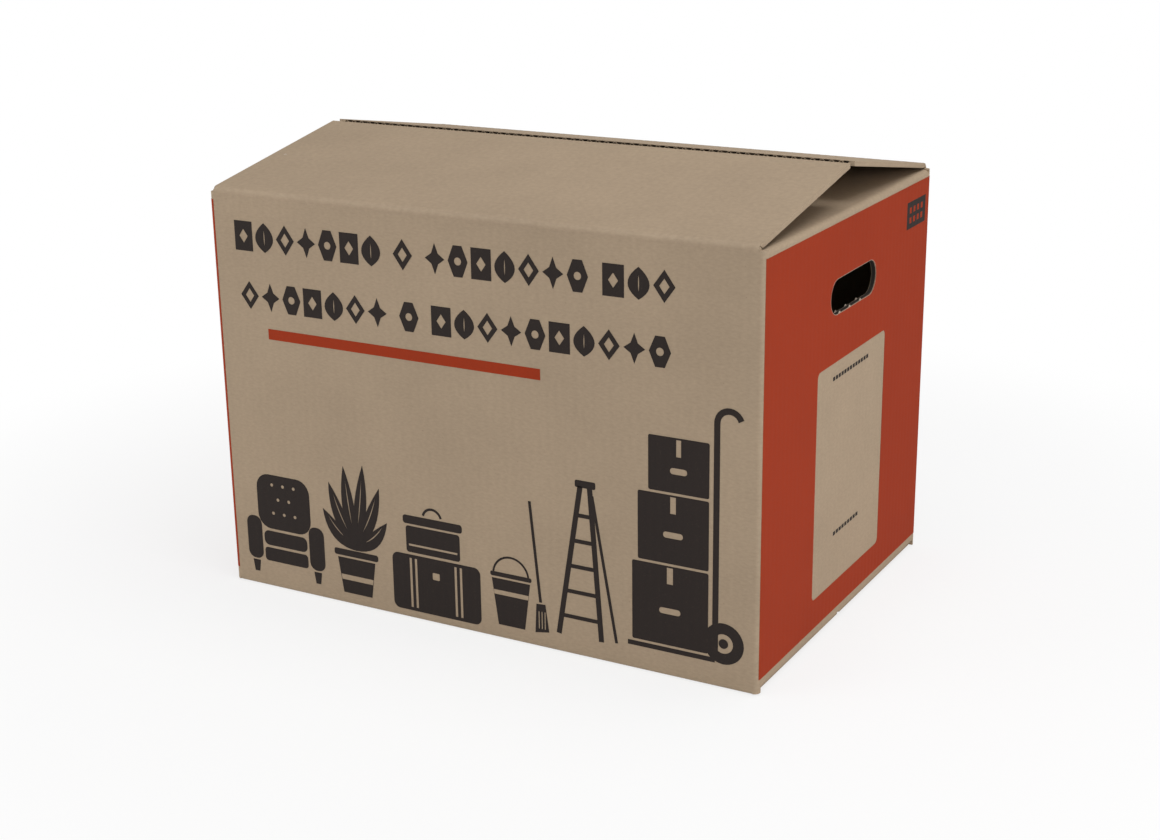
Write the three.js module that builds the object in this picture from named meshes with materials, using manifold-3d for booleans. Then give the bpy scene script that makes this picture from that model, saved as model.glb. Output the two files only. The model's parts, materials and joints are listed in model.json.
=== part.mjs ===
// A slotted moving carton folded from one sheet of single-wall corrugated board.
// Millimetres and degrees. X runs along the box, Y from its front to its back, Z up from the floor.
import * as THREE from "three";
import { mergeVertices } from "three/addons/utils/BufferGeometryUtils.js";
import Module from "manifold-3d";

// The box, measured outside its walls
const boxLength = 500;
const boxDepth = 350;
const boxHeight = 350;

// The board: two liners with a fluted medium between them
const boardThickness = 4;
const linerThickness = 0.4;
const mediumThickness = 0.4;
const flutePitch = 8;
const fluteCrownHalfWidth = 0.7;

// Folds, slots and flaps
const foldInsideRadius = 0.5;
const foldSegments = 6;
const cornerSlot = 4.5;
const slotFootAtTop = 4;
const slotFootAtBottom = 1.5;
const flapMeetingGap = 5;
const innerFlapSideGap = 1.5;
const innerFlapDrop = 4.5;
const outerFlapRaise = 10;
const foldClearance = 0.3;
const crushedFoldWidth = 3;
const gluePress = 0.2;

// The glued joint inside the back left corner
const lapWidth = 35;
const lapEndGap = 1.5;
const jointSetback = 3;

// The hand hole in each end wall
const handHoleLength = 97;
const handHoleHeight = 28.5;
const handHoleCentre = 281;
const handHoleSegments = 16;

// Print: thin fields of ink that lie on the outer liner
const inkThickness = 0.15;
const inkStandOff = 0.05;
const endInkTopMargin = 10;
const endInkBottomMargin = 13;
const endInkShift = 2.3;
const windowWidth = 146;
const windowHeight = 190;
const windowSide = 2;
const windowBase = 38;
const windowRadius = 5;
const ruleLength = 261;
const ruleHeight = 9;
const ruleFromLeft = 53;
const ruleBase = 226;

// Sizes that follow from the ones above
const foldRadius = foldInsideRadius + boardThickness;
const halfLength = boxLength / 2;
const halfDepth = boxDepth / 2;
const flapLength = halfDepth - flapMeetingGap / 2;
const outerFlapHalfWidth = halfLength - cornerSlot;
const innerFlapHalfWidth = halfDepth - boardThickness - innerFlapSideGap;
const dustFlapTop = boxHeight - innerFlapDrop;
const innerFloorBase = boardThickness - gluePress;
const reach = boxLength + boxDepth + boxHeight;

const colours = { kraft: 0xa3907a, redInk: 0x9f432c };

const wasm = await Module();
wasm.setup();
const { Manifold, Mesh: ManifoldMesh } = wasm;

// Solids and booleans

function solid(geometry) {
  const bare = geometry.clone();
  bare.deleteAttribute("normal");
  bare.deleteAttribute("uv");
  const merged = mergeVertices(bare, 1e-4);
  return new Manifold(
    new ManifoldMesh({
      numProp: 3,
      vertProperties: new Float32Array(merged.attributes.position.array),
      triVerts: new Uint32Array(merged.index.array),
    }),
  );
}

function geometryOf(body) {
  const mesh = body.getMesh();
  const geometry = new THREE.BufferGeometry();
  geometry.setAttribute("position", new THREE.BufferAttribute(mesh.vertProperties, 3));
  geometry.setIndex(new THREE.BufferAttribute(mesh.triVerts, 1));
  const faceted = geometry.toNonIndexed();
  faceted.computeVertexNormals();
  return faceted;
}

function joined(bodies) {
  return bodies.reduce((sum, body) => sum.add(body));
}

function block(low, high) {
  const size = new THREE.Vector3().subVectors(high, low);
  const geometry = new THREE.BoxGeometry(size.x, size.y, size.z);
  geometry.translate((low.x + high.x) / 2, (low.y + high.y) / 2, (low.z + high.z) / 2);
  return solid(geometry);
}

// Extrusions: a shape drawn in one plane and swept from one value to another along the third axis

function extruded(shape, from, to, curveSegments) {
  const geometry = new THREE.ExtrudeGeometry(shape, {
    depth: to - from,
    bevelEnabled: false,
    curveSegments,
  });
  return geometry.translate(0, 0, from);
}

function alongZ(shape, from, to, segments = foldSegments) {
  return solid(extruded(shape, from, to, segments / 2));
}

// The shape's x and y become Y and Z
function alongX(shape, from, to, segments = foldSegments) {
  const turn = new THREE.Matrix4().makeBasis(
    new THREE.Vector3(0, 1, 0),
    new THREE.Vector3(0, 0, 1),
    new THREE.Vector3(1, 0, 0),
  );
  return solid(extruded(shape, from, to, segments / 2).applyMatrix4(turn));
}

// The shape's x and y become X and Z
function alongY(shape, from, to, segments = foldSegments) {
  const turn = new THREE.Matrix4().makeBasis(
    new THREE.Vector3(1, 0, 0),
    new THREE.Vector3(0, 0, 1),
    new THREE.Vector3(0, -1, 0),
  );
  return solid(extruded(shape, -to, -from, segments / 2).applyMatrix4(turn));
}

// Outlines

function roundedRectangle(path, left, right, low, high, radius) {
  path.moveTo(left + radius, low);
  path.lineTo(right - radius, low);
  path.absarc(right - radius, low + radius, radius, -Math.PI / 2, 0, false);
  path.lineTo(right, high - radius);
  path.absarc(right - radius, high - radius, radius, 0, Math.PI / 2, false);
  path.lineTo(left + radius, high);
  path.absarc(left + radius, high - radius, radius, Math.PI / 2, Math.PI, false);
  path.lineTo(left, low + radius);
  path.absarc(left + radius, low + radius, radius, Math.PI, 1.5 * Math.PI, false);
  return path;
}

// A wall that bends through a right angle into a flap at its foot. The wall's outer face is at x = 0,
// the flap's outer face at y = 0, and the flap runs to x = flapEnd.
function bentFoot(flapEnd, wallTop) {
  const shape = new THREE.Shape();
  shape.moveTo(0, wallTop);
  shape.lineTo(0, foldRadius);
  shape.absarc(foldRadius, foldRadius, foldRadius, Math.PI, 1.5 * Math.PI, false);
  shape.lineTo(flapEnd, 0);
  shape.lineTo(flapEnd, boardThickness);
  shape.lineTo(foldRadius, boardThickness);
  shape.absarc(foldRadius, foldRadius, foldInsideRadius, 1.5 * Math.PI, Math.PI, true);
  shape.lineTo(boardThickness, wallTop);
  shape.closePath();
  return shape;
}

// The carton: four walls, the closed bottom flaps, the folded-in dust flaps and the glued lap

function wallRing() {
  const shape = roundedRectangle(
    new THREE.Shape(),
    -halfLength,
    halfLength,
    -halfDepth,
    halfDepth,
    foldRadius,
  );
  shape.holes.push(
    roundedRectangle(
      new THREE.Path(),
      boardThickness - halfLength,
      halfLength - boardThickness,
      boardThickness - halfDepth,
      halfDepth - boardThickness,
      foldInsideRadius,
    ),
  );
  return alongZ(shape, slotFootAtBottom, boxHeight - slotFootAtTop);
}

// The stretches of wall edge that bend into flaps instead of ending at the slots
function bentEdges() {
  const below = (height) => [-reach, height];
  const above = (height) => [height, reach];
  const longEdge = ([low, high]) =>
    block(
      new THREE.Vector3(-outerFlapHalfWidth, -reach, low),
      new THREE.Vector3(outerFlapHalfWidth, reach, high),
    );
  const endEdge = ([low, high]) =>
    block(
      new THREE.Vector3(-reach, -innerFlapHalfWidth, low),
      new THREE.Vector3(reach, innerFlapHalfWidth, high),
    );
  return joined([
    longEdge(below(foldRadius)),
    longEdge(above(boxHeight - foldRadius)),
    endEdge(below(innerFloorBase + foldRadius)),
    endEdge(above(dustFlapTop - foldRadius)),
  ]);
}

// A long wall's foot with the outer bottom flap that bends from it
function outerBottomFlap() {
  const foot = alongX(
    bentFoot(flapLength, foldRadius + boardThickness),
    -outerFlapHalfWidth,
    outerFlapHalfWidth,
  );
  return foot.translate([0, -halfDepth, 0]);
}

// An end wall's foot with the inner bottom flap that bends from it
function innerBottomFlap() {
  const foot = alongY(
    bentFoot(flapLength, foldRadius + boardThickness),
    -innerFlapHalfWidth,
    innerFlapHalfWidth,
  );
  return foot.translate([-halfLength, 0, innerFloorBase]);
}

// The same bend turned over, at the top of an end wall
function dustFlap() {
  const foot = alongY(
    bentFoot(flapLength, foldRadius + boardThickness),
    -innerFlapHalfWidth,
    innerFlapHalfWidth,
  );
  return foot.mirror([0, 0, 1]).translate([-halfLength, 0, dustFlapTop]);
}

// The top of a long wall: half of the rounded fold, ending on the mitre that faces the flap
function wallCrest() {
  const shape = new THREE.Shape();
  shape.moveTo(0, -foldRadius - boardThickness);
  shape.lineTo(0, -foldRadius);
  shape.absarc(foldRadius, -foldRadius, foldRadius, Math.PI, 0.75 * Math.PI, true);
  shape.lineTo(boardThickness, -boardThickness);
  shape.lineTo(boardThickness, -foldRadius - boardThickness);
  shape.closePath();
  const crest = alongX(shape, -outerFlapHalfWidth, outerFlapHalfWidth);
  return crest.translate([0, -halfDepth, boxHeight]);
}

// The back wall's end, bent inside the left wall and glued to it
function gluedLap() {
  const outer = boardThickness - gluePress;
  const shape = new THREE.Shape();
  shape.moveTo(outer + 3 * foldRadius, 0);
  shape.lineTo(outer + foldRadius, 0);
  shape.absarc(outer + foldRadius, -foldRadius, foldRadius, Math.PI / 2, Math.PI, false);
  shape.lineTo(outer, -lapWidth);
  shape.lineTo(outer + boardThickness, -lapWidth);
  shape.lineTo(outer + boardThickness, -foldRadius);
  shape.absarc(outer + foldRadius, -foldRadius, foldInsideRadius, Math.PI, Math.PI / 2, true);
  shape.lineTo(outer + 3 * foldRadius, -boardThickness);
  shape.closePath();
  const low = innerFloorBase + foldRadius + lapEndGap;
  const lap = alongZ(shape, low, dustFlapTop - foldRadius - lapEndGap);
  return lap.translate([-halfLength, halfDepth, 0]);
}

// The corner that the left wall leaves open, because its cut edge stops short of the back wall's face
function jointCorner() {
  const inner = boardThickness - gluePress;
  return block(
    new THREE.Vector3(-reach, halfDepth - jointSetback, -reach),
    new THREE.Vector3(inner + 2 * foldRadius - halfLength, reach, reach),
  );
}

function handHoles() {
  const radius = handHoleHeight / 2;
  const straight = handHoleLength / 2 - radius;
  const shape = new THREE.Shape();
  shape.moveTo(-straight, handHoleCentre - radius);
  shape.lineTo(straight, handHoleCentre - radius);
  shape.absarc(straight, handHoleCentre, radius, -Math.PI / 2, Math.PI / 2, false);
  shape.lineTo(-straight, handHoleCentre + radius);
  shape.absarc(-straight, handHoleCentre, radius, Math.PI / 2, 1.5 * Math.PI, false);
  return alongX(shape, -reach, reach, handHoleSegments);
}

function carton() {
  const walls = wallRing().subtract(bentEdges()).subtract(jointCorner());
  const left = [innerBottomFlap(), dustFlap()];
  const right = left.map((flap) => flap.mirror([1, 0, 0]));
  const front = [outerBottomFlap(), wallCrest()];
  const back = front.map((flap) => flap.mirror([0, 1, 0]));
  return joined([walls, gluedLap(), ...left, ...right, ...front, ...back]).subtract(handHoles());
}

// An outer top flap, drawn closed: its fold line is the origin, it runs along +Y and its outer face is Z = 0

function flapSection() {
  const start = Math.PI / 4 + Math.acos(foldClearance / foldRadius);
  const shape = new THREE.Shape();
  shape.absarc(foldRadius, -foldRadius, foldRadius, start, Math.PI / 2, true);
  shape.lineTo(flapLength, 0);
  shape.lineTo(flapLength, -boardThickness);
  shape.lineTo(boardThickness + foldClearance * Math.SQRT2, -boardThickness);
  shape.closePath();
  return shape;
}

// The air between the medium and one liner, in one flute. side is 1 under the outer liner and -1 over the
// inner one.
function fluteChannel(centre, side) {
  const middle = -boardThickness / 2;
  const height = boardThickness - 2 * linerThickness - mediumThickness;
  const liner = middle + side * (height + mediumThickness) / 2;
  const crown = liner - side * height;
  const slopedMedium = mediumThickness * Math.SQRT2;
  const share = mediumThickness / height;
  const narrow = fluteCrownHalfWidth;
  const wide = (flutePitch / 2 - slopedMedium - narrow * (1 + share)) / (1 - share);
  const shape = new THREE.Shape();
  shape.moveTo(centre - wide, liner);
  shape.lineTo(centre - narrow, crown);
  shape.lineTo(centre + narrow, crown);
  shape.lineTo(centre + wide, liner);
  shape.closePath();
  return shape;
}

// The flutes run from the crushed fold to the free edge, where their ends are open
function fluteChannels() {
  const flutes = Math.floor((2 * outerFlapHalfWidth) / flutePitch) - 1;
  const shapes = [];
  for (let i = 0; i < flutes; i += 1) {
    const centre = (i - (flutes - 1) / 2) * flutePitch;
    shapes.push(fluteChannel(centre - flutePitch / 4, 1), fluteChannel(centre + flutePitch / 4, -1));
  }
  return alongY(shapes, foldRadius + crushedFoldWidth, flapLength + boardThickness);
}

function outerTopFlap() {
  const sheet = alongX(flapSection(), -outerFlapHalfWidth, outerFlapHalfWidth);
  return sheet.subtract(fluteChannels());
}

// Ink fields

// The right end's field, which also covers part of the rounded fold at each side. A point on a fold is at
// an angle from the end wall's outward direction, so the field runs from one angle to the other.
function endField(frontAngle, backAngle) {
  const inner = foldRadius + inkStandOff;
  const outer = inner + inkThickness;
  const x = halfLength - foldRadius;
  const y = halfDepth - foldRadius;
  const shape = new THREE.Shape();
  shape.absarc(x, -y, outer, frontAngle, 0, false);
  shape.absarc(x, y, outer, 0, backAngle, false);
  shape.absarc(x, y, inner, backAngle, 0, true);
  shape.absarc(x, -y, inner, 0, frontAngle, true);
  shape.closePath();
  const top = boxHeight - endInkTopMargin;
  return alongZ(shape, endInkBottomMargin, top).subtract(handHoles());
}

// The bare window in an end's field
function endWindow() {
  const shape = roundedRectangle(
    new THREE.Shape(),
    windowSide - windowWidth / 2,
    windowSide + windowWidth / 2,
    windowBase,
    windowBase + windowHeight,
    windowRadius,
  );
  return alongX(shape, 0, reach);
}

// The print lies a little off the folds, towards the back on the right end and the front on the left one
function foldAngle(cover) {
  return Math.acos(1 - Math.min(cover, foldRadius) / foldRadius);
}

function rightEndInk() {
  const shortSide = -foldAngle(foldRadius - endInkShift - inkThickness) / 2;
  const longSide = foldAngle(endInkShift);
  return endField(shortSide, longSide).subtract(endWindow());
}

function leftEndInk() {
  const longSide = -foldAngle(endInkShift);
  return endField(longSide, 0).subtract(endWindow()).mirror([1, 0, 0]);
}

function frontRuleInk() {
  const left = ruleFromLeft - halfLength;
  return block(
    new THREE.Vector3(left, -halfDepth - inkStandOff - inkThickness, ruleBase),
    new THREE.Vector3(left + ruleLength, -halfDepth - inkStandOff, ruleBase + ruleHeight),
  );
}

// The scene graph

const kraftBoard = new THREE.MeshStandardMaterial({
  color: colours.kraft,
  roughness: 0.9,
  metalness: 0,
});
const redInk = new THREE.MeshStandardMaterial({
  color: colours.redInk,
  roughness: 0.7,
  metalness: 0,
});

function piece(name, body, material) {
  const mesh = new THREE.Mesh(geometryOf(body), material.clone());
  mesh.name = name;
  return mesh;
}

// A flap hangs on its fold line, which lies along the top outer edge of its wall
function foldLine(side, flap) {
  const edge = new THREE.Group();
  edge.position.set(0, side * halfDepth, boxHeight);
  edge.rotation.z = side > 0 ? Math.PI : 0;
  const swing = new THREE.Group();
  swing.rotation.x = THREE.MathUtils.degToRad(outerFlapRaise);
  swing.add(flap);
  edge.add(swing);
  return edge;
}

const movingBox = new THREE.Group();
movingBox.name = "moving_box";
movingBox.add(piece("carton", carton(), kraftBoard));
movingBox.add(foldLine(-1, piece("front_top_flap", outerTopFlap(), kraftBoard)));
movingBox.add(foldLine(1, piece("back_top_flap", outerTopFlap(), kraftBoard)));
movingBox.add(piece("right_end_ink", rightEndInk(), redInk));
movingBox.add(piece("left_end_ink", leftEndInk(), redInk));
movingBox.add(piece("front_rule_ink", frontRuleInk(), redInk));

export default movingBox;
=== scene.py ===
"""A corrugated moving box: procedural board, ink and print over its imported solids, in a pale studio.

Everything is in metres in the row frame: X runs along the box, Y from the printed front to the back,
Z up from the floor. Drawings on a panel are in millimetres from the panel's lower left corner.
"""

from __future__ import annotations

import json
import logging
import math
from dataclasses import dataclass, field
from enum import Enum
from typing import Sequence, Union

import bmesh
import bpy
from mathutils import Matrix, Vector
from mathutils.geometry import tessellate_polygon


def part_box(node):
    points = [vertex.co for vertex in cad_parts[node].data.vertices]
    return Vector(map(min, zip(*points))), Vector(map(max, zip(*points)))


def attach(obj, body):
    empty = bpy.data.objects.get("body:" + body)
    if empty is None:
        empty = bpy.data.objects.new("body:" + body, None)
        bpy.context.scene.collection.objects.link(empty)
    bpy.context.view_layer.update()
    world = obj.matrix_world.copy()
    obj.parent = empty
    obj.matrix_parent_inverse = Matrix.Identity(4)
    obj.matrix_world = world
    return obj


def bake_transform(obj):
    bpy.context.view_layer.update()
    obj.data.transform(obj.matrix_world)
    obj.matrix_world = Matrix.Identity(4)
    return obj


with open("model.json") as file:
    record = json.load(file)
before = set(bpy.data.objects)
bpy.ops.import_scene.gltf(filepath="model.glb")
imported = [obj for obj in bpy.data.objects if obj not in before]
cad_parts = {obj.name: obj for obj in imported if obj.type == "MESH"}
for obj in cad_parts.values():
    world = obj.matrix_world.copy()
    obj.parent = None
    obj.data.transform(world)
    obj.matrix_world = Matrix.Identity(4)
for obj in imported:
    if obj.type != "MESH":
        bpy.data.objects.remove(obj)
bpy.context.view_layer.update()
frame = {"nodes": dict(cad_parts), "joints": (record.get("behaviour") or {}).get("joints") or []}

log = logging.getLogger("moving_box")

MM = 0.001
OVER_INK = {"stand_off": 0.17 * MM, "film": 0.05 * MM}

Point = tuple[float, float]
Outline = list[Point]
Place = tuple[float, float, float]
Colour = tuple[float, float, float]
Stops = tuple[tuple[float, Colour], ...]


class Body(Enum):
    """The bodies that pieces ride on."""

    CARTON = "carton"
    FRONT_FLAP = "front_flap"
    BACK_FLAP = "back_flap"


class Slot(Enum):
    """The record's material slots."""

    KRAFT = "kraft_board"
    RED = "red_ink"
    DARK = "dark_ink"


class End(Enum):
    """The end walls, by the sign of x."""

    RIGHT = 1
    LEFT = -1


class FluteRun(Enum):
    """Where the board's flutes show through its outer face."""

    CARTON = "across x on the long walls, across y on the end walls and dust flaps"
    FLAP = "across x all over"


class Figure(Enum):
    """The plain figures of the frieze."""

    SQUARE = "square"
    LEAF = "leaf"
    DIAMOND = "diamond"
    STAR = "star"
    HEXAGON = "hexagon"


@dataclass(frozen=True)
class BoxSizes:
    """The carton's main sizes in metres."""

    half_length: float
    half_depth: float
    height: float
    board: float = 4 * MM
    fold_radius: float = 4.5 * MM
    corner_slot: float = 4.5 * MM
    inner_flap_drop: float = 4.5 * MM
    inner_flap_side_gap: float = 1.5 * MM
    flap_meeting_gap: float = 5 * MM
    flute_pitch: float = 8 * MM
    flap_raise: float = math.radians(10)
    hole_length: float = 97 * MM
    hole_height: float = 28.5 * MM
    hole_centre: float = 281 * MM

    @classmethod
    def from_frame(cls) -> BoxSizes:
        """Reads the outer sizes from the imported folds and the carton's box.

        Returns:
            The sizes.
        """
        _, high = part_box("carton")
        fold = next(j for j in frame["joints"] if j["name"] == "back_flap_fold")
        return cls(half_length=high[0], half_depth=fold["pos_m"][1], height=fold["pos_m"][2])

    @property
    def flap_half_width(self) -> float:
        """Half the length of an outer flap along the box."""
        return self.half_length - self.corner_slot

    @property
    def flap_length(self) -> float:
        """How far every flap reaches from its fold."""
        return self.half_depth - self.flap_meeting_gap / 2

    @property
    def dust_flap_top(self) -> float:
        """The height of the dust flaps' outer faces."""
        return self.height - self.inner_flap_drop

    @property
    def dust_flap_half_width(self) -> float:
        """Half a dust flap's width across the box."""
        return self.half_depth - self.board - self.inner_flap_side_gap


# Shader graphs


Input = Union["Value", float, Sequence[float]]


class Graph:
    """A material's or a world's node tree, built by expressions."""

    def __init__(self, owner: bpy.types.Material | bpy.types.World) -> None:
        """Empties the owner's node tree, ready to be filled.

        Args:
            owner: The material or world.
        """
        owner.use_nodes = True
        self.tree = owner.node_tree
        self.tree.nodes.clear()

    def node(
        self,
        kind: str,
        settings: dict[str, object] | None = None,
        inputs: dict[str | int, Input] | None = None,
        output: str | int = 0,
    ) -> Value:
        """Adds one node.

        Args:
            kind: The node's type.
            settings: Properties, which are set first, and a ramp's stops under "stops".
            inputs: Values or links by socket name or index.
            output: The socket that the result stands for.

        Returns:
            The chosen output, empty for a node that has none.
        """
        made = self.tree.nodes.new(kind)
        for key, setting in (settings or {}).items():
            if key == "stops":
                self._set_stops(made, setting)
            else:
                setattr(made, key, setting)
        for key, value in (inputs or {}).items():
            if isinstance(value, Value):
                self.tree.links.new(value.socket, made.inputs[key])
            else:
                made.inputs[key].default_value = value
        return Value(self, made.outputs[output] if len(made.outputs) else None)

    @staticmethod
    def _set_stops(ramp: bpy.types.Node, stops: Stops) -> None:
        """Gives a colour ramp its stops.

        Args:
            ramp: The ramp's node.
            stops: Each stop's place and colour, from low to high.
        """
        elements = ramp.color_ramp.elements
        while len(elements) > 1:
            elements.remove(elements[-1])
        for index, (place, colour) in enumerate(stops):
            element = elements[0] if index == 0 else elements.new(place)
            element.position = place
            element.color = (*colour, 1)

    def mix(self, share: Input, first: Input, second: Input) -> Value:
        """Blends two colours.

        Args:
            share: How much of the second colour, from 0 to 1.
            first: The colour at 0.
            second: The colour at 1.

        Returns:
            The blended colour.
        """
        sides = [side if isinstance(side, Value) else (*side, 1) for side in (first, second)]
        settings = {"data_type": "RGBA", "clamp_factor": True}
        return self.node("ShaderNodeMix", settings, {0: share, 6: sides[0], 7: sides[1]}, output=2)

    def ramp_colour(self, value: Value, stops: Stops) -> Value:
        """Turns a number into a colour through a ramp's stops."""
        return self.node("ShaderNodeValToRGB", {"stops": stops}, {"Fac": value})

    def tinted(self, colour: Value, factor: Input) -> Value:
        """Multiplies a colour by a number."""
        return self.node("ShaderNodeVectorMath", {"operation": "SCALE"}, {0: colour, "Scale": factor})

    def coordinates(self) -> Value:
        """The point in the box's own frame."""
        return self.node("ShaderNodeTexCoord", output="Object")

    def _split(self, vector: Value) -> tuple[Value, ...]:
        """Splits a vector into its three numbers."""
        return tuple(self.node("ShaderNodeSeparateXYZ", {}, {0: vector}, axis) for axis in range(3))

    def point(self) -> tuple[Value, ...]:
        """The point's x, y and z in the box's own frame."""
        return self._split(self.coordinates())

    def facing(self) -> tuple[Value, ...]:
        """The face's direction in the box's own frame."""
        return self._split(self.node("ShaderNodeTexCoord", output="Normal"))

    def noise(self, scale: float, stretch: Sequence[float] = (1, 1, 1), detail: float = 3) -> Value:
        """Soft noise over the box.

        Args:
            scale: Cells per metre.
            stretch: The scale's share along each axis.
            detail: Octaves.

        Returns:
            Noise between 0 and 1, about 0.5 on average.
        """
        inputs = {0: self.coordinates(), 1: stretch}
        place = self.node("ShaderNodeVectorMath", {"operation": "MULTIPLY"}, inputs)
        return self.node("ShaderNodeTexNoise", {}, {"Vector": place, "Scale": scale, "Detail": detail})

    def step(self, value: Value, low: float, high: float) -> Value:
        """A smooth step from 0 at low to 1 at high."""
        settings = {"interpolation_type": "SMOOTHSTEP"}
        return self.node("ShaderNodeMapRange", settings, {"Value": value, 1: low, 2: high})

    def paper(self, colour: Value, roughness: Input, height: Value, depth: float, gloss: float) -> None:
        """Ends the graph in one matt Principled shader.

        Args:
            colour: The base colour.
            roughness: The roughness.
            height: The bump's height from 0 to 1.
            depth: The bump's depth in metres.
            gloss: The specular level, the same all over.
        """
        bump = self.node("ShaderNodeBump", {}, {"Strength": 1, "Distance": depth, "Height": height})
        inputs = {
            "Base Color": colour,
            "Roughness": roughness,
            "Specular IOR Level": gloss,
            "Normal": bump,
        }
        shader = self.node("ShaderNodeBsdfPrincipled", {}, inputs)
        self.node("ShaderNodeOutputMaterial", {}, {"Surface": shader})


@dataclass(frozen=True)
class Value:
    """One socket's value. Arithmetic on it adds Math nodes."""

    graph: Graph
    socket: bpy.types.NodeSocket | None

    def _math(self, operation: str, first: Input, second: Input = 0.0) -> Value:
        """Adds a Math node for two numbers."""
        return self.graph.node("ShaderNodeMath", {"operation": operation}, {0: first, 1: second})

    def __add__(self, other: Input) -> Value:
        """Sum."""
        return self._math("ADD", self, other)

    def __radd__(self, other: Input) -> Value:
        """Sum with a number on the left."""
        return self._math("ADD", other, self)

    def __sub__(self, other: Input) -> Value:
        """Difference."""
        return self._math("SUBTRACT", self, other)

    def __rsub__(self, other: Input) -> Value:
        """Difference from a number on the left."""
        return self._math("SUBTRACT", other, self)

    def __mul__(self, other: Input) -> Value:
        """Product."""
        return self._math("MULTIPLY", self, other)

    def __rmul__(self, other: Input) -> Value:
        """Product with a number on the left."""
        return self._math("MULTIPLY", other, self)

    def __gt__(self, other: Input) -> Value:
        """1 where this is greater, otherwise 0."""
        return self._math("GREATER_THAN", self, other)

    def __lt__(self, other: Input) -> Value:
        """1 where this is less, otherwise 0."""
        return self._math("LESS_THAN", self, other)

    def __abs__(self) -> Value:
        """Size without sign."""
        return self._math("ABSOLUTE", self)

    def sine(self) -> Value:
        """Sine of an angle in radians."""
        return self._math("SINE", self)

    def least(self, other: Input) -> Value:
        """The smaller of two values."""
        return self._math("MINIMUM", self, other)

    def most(self, other: Input) -> Value:
        """The larger of two values."""
        return self._math("MAXIMUM", self, other)


# Finishes


@dataclass(frozen=True)
class Tooth:
    """How strongly the board's own texture shows in a finish."""

    mottling: float
    fibres: float
    # The flutes' share of the tone: painted shade in their valleys, painted highlight on their crests.
    flutes: float
    fibre_rise: float
    roughness: float
    depth: float
    gloss: float
    flute_rise: float = 0.6
    fibre_roughness: float = 0.2


@dataclass(frozen=True)
class BoardSurface:
    """What the outer liner does to any finish on it: flutes, fibres, mottling, and folds paled partly by wear
    and partly by a painted highlight.
    """

    graph: Graph
    sizes: BoxSizes
    flutes: FluteRun
    # The paling along the folds: partly rubbed liner, partly a painted highlight.
    wear_and_highlight_reach: tuple[float, float] = (0.8 * MM, 5 * MM)
    wear_and_highlight_patches: float = 90
    wear_and_highlight_strength: float = 1.4
    outer_liner: tuple[float, float] = (0.35 * MM, 0.55 * MM)
    inner_liner: tuple[float, float] = (3.7 * MM, 3.9 * MM)
    hole_margin: float = 4 * MM
    fibre_scale: float = 620
    fibre_stretch: tuple[float, float, float] = (0.45, 0.45, 1)
    mottling_scale: float = 14
    fleck_scale: float = 190
    fleck_edge: tuple[float, float] = (0.04, 0.13)
    fleck_patches: float = 75
    fleck_rarity: float = 0.62

    def _across_flutes(self) -> Value:
        """Finds the distance across the flutes.

        Returns:
            x or y, by the face's direction.
        """
        x, y, z = self.graph.point()
        if self.flutes is FluteRun.FLAP:
            return x
        toward_x, _, toward_z = self.graph.facing()
        on_dust_flap = (abs(toward_z) > 0.5) * (z > self.sizes.height / 2)
        share = (abs(toward_x) > 0.5).most(on_dust_flap)
        return x * (1 - share) + y * share

    def washboard(self) -> Value:
        """The flutes' faint wave, from 0 to 1."""
        turns = self._across_flutes() * (2 * math.pi / self.sizes.flute_pitch)
        return turns.sine() * 0.5 + 0.5

    def fold_wear_and_highlight(self) -> Value:
        """Marks the box's folded edges, where the finish turns paler: partly wear, partly a painted
        highlight.

        Returns:
            About 1 on a fold, fading to 0 some millimetres away.
        """
        x, y, z = self.graph.point()
        across = self.sizes.half_length - abs(x)
        deep = abs(self.sizes.half_depth - abs(y))
        high = z.least(abs(self.sizes.height - z))
        second = across.least(deep).most(across.most(deep).least(high))
        patches = self.graph.noise(self.wear_and_highlight_patches) * self.wear_and_highlight_strength
        return (1 - self.graph.step(second, *self.wear_and_highlight_reach)) * patches

    def hand_hole_flute_shade(self) -> Value:
        """Marks the open flutes in the hand holes' cut edges, between the two pale liners, where the liner is
        painted dark as shade.

        Returns:
            1 in the flutes, otherwise 0.
        """
        x, y, z = self.graph.point()
        toward_x, _, _ = self.graph.facing()
        depth = self.sizes.half_length - abs(x)
        between = self.graph.step(depth, *self.outer_liner) * (1 - self.graph.step(depth, *self.inner_liner))
        beside = abs(y) < self.sizes.hole_length / 2 + self.hole_margin
        level = abs(z - self.sizes.hole_centre) < self.sizes.hole_height / 2 + self.hole_margin
        return between * beside * level * (abs(toward_x) < 0.5)

    def flecks(self) -> Value:
        """Marks sparse dark fibres.

        Returns:
            1 on a fleck, otherwise 0.
        """
        inputs = {"Vector": self.graph.coordinates(), "Scale": self.fleck_scale}
        distance = self.graph.node("ShaderNodeTexVoronoi", {}, inputs)
        patches = self.graph.noise(self.fleck_patches, detail=1) > self.fleck_rarity
        return (1 - self.graph.step(distance, *self.fleck_edge)) * patches

    def dress(self, colour: Value, tooth: Tooth) -> None:
        """Ends a finish with the board's tone, roughness and bump; the tone's flute term is painted shade in
        the flutes' valleys and a painted highlight on their crests.

        Args:
            colour: The finish's colour.
            tooth: How strongly the board shows.
        """
        wave = self.washboard()
        fibres = self.graph.noise(self.fibre_scale, self.fibre_stretch) - 0.5
        mottling = self.graph.noise(self.mottling_scale) - 0.5
        # The flute term is painted shade in the valleys and a painted highlight on the crests.
        tone = 1 + mottling * tooth.mottling + fibres * tooth.fibres + (wave - 0.5) * tooth.flutes
        height = wave * tooth.flute_rise + fibres * tooth.fibre_rise
        roughness = tooth.roughness + fibres * tooth.fibre_roughness
        self.graph.paper(self.graph.tinted(colour, tone), roughness, height, tooth.depth, tooth.gloss)


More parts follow.
